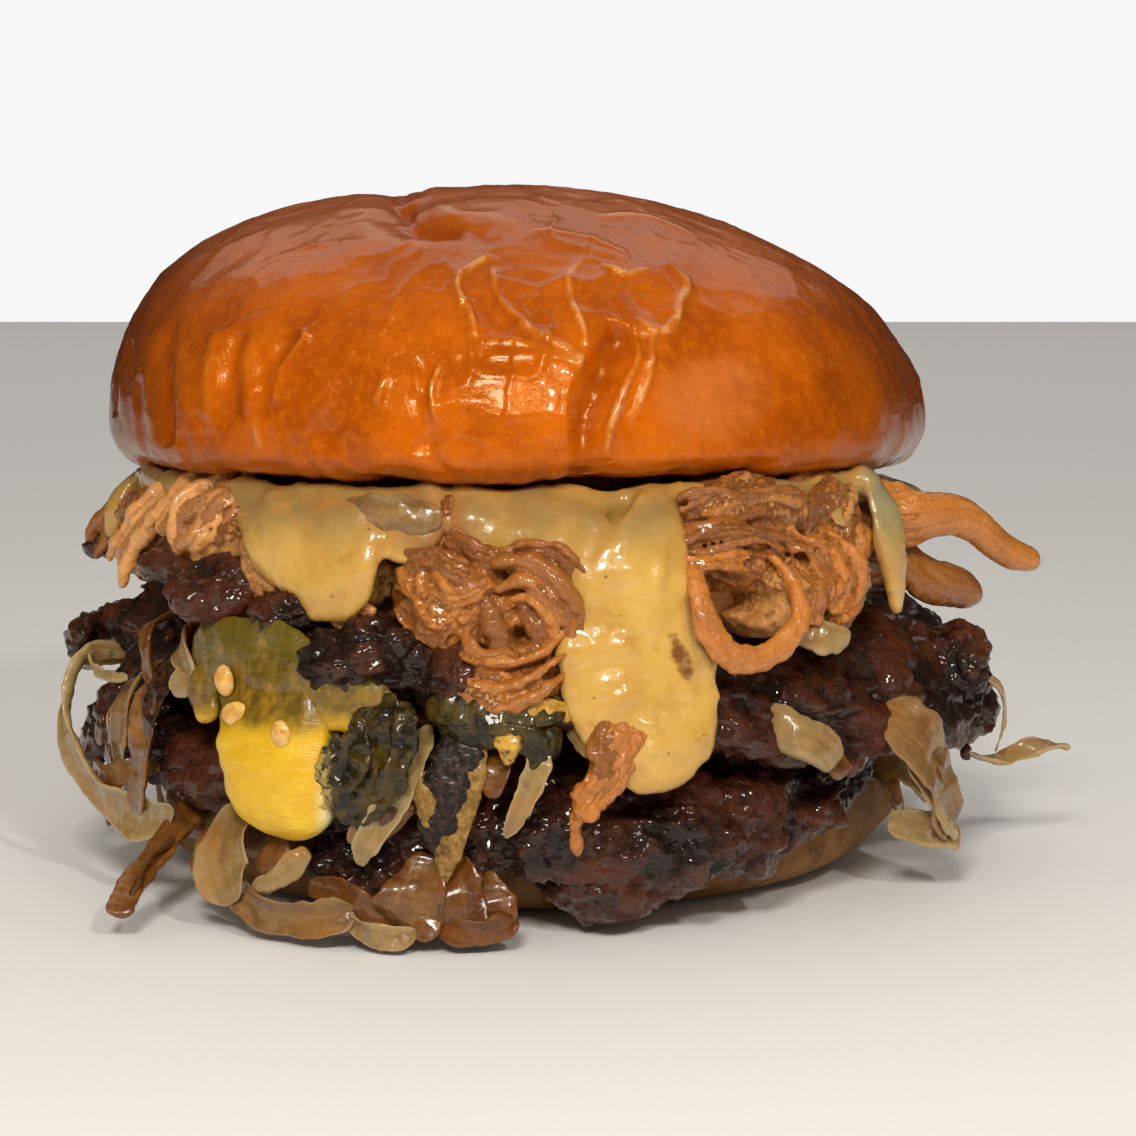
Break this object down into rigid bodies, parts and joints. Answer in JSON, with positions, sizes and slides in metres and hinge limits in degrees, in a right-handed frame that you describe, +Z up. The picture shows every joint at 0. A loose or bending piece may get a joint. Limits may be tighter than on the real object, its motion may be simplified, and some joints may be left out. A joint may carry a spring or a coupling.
{
  "type": "pulled pork burger",
  "caption": "Tall burger in a glossy domed bun, with draped meat patties, a heap of pulled pork, running cheese sauce, roasted peppers and soft fried onions.",
  "frame": {"origin": "middle of the bottom bun's flat underside", "axes": "+Z up the stack, -Y the front where the sauce hangs lowest, +X the side the upper patty droops over"},
  "size_m": [0.1396, 0.1256, 0.0904],
  "materials": {
    "bun_crust": "glossy baked crust, orange-brown",
    "bun_heel": "matt baked crust, tan",
    "patty": "wet seared mince, near black",
    "pork": "glazed shredded meat, orange-tan",
    "sauce": "glossy cheese sauce, pale yellow",
    "pepper": "wet roasted pepper, yellow",
    "charred_pepper": "wet charred pepper skin, dark green",
    "charred_onion": "burnt onion, speckled black",
    "onion": "soft fried onion, translucent tan"
  },
  "bodies": {
    "root": {"top_bun": "bun_crust", "bottom_bun": "bun_heel", "lower_patty": "patty", "upper_patty": "patty", "pulled_pork": "pork", "pork_shred": "pork", "cheese_sauce": "sauce", "roasted_pepper": "pepper", "green_pepper": "charred_pepper", "charred_onion": "charred_onion", "upper_onions": "onion", "lower_onions": "onion"}
  },
  "joints": []
}
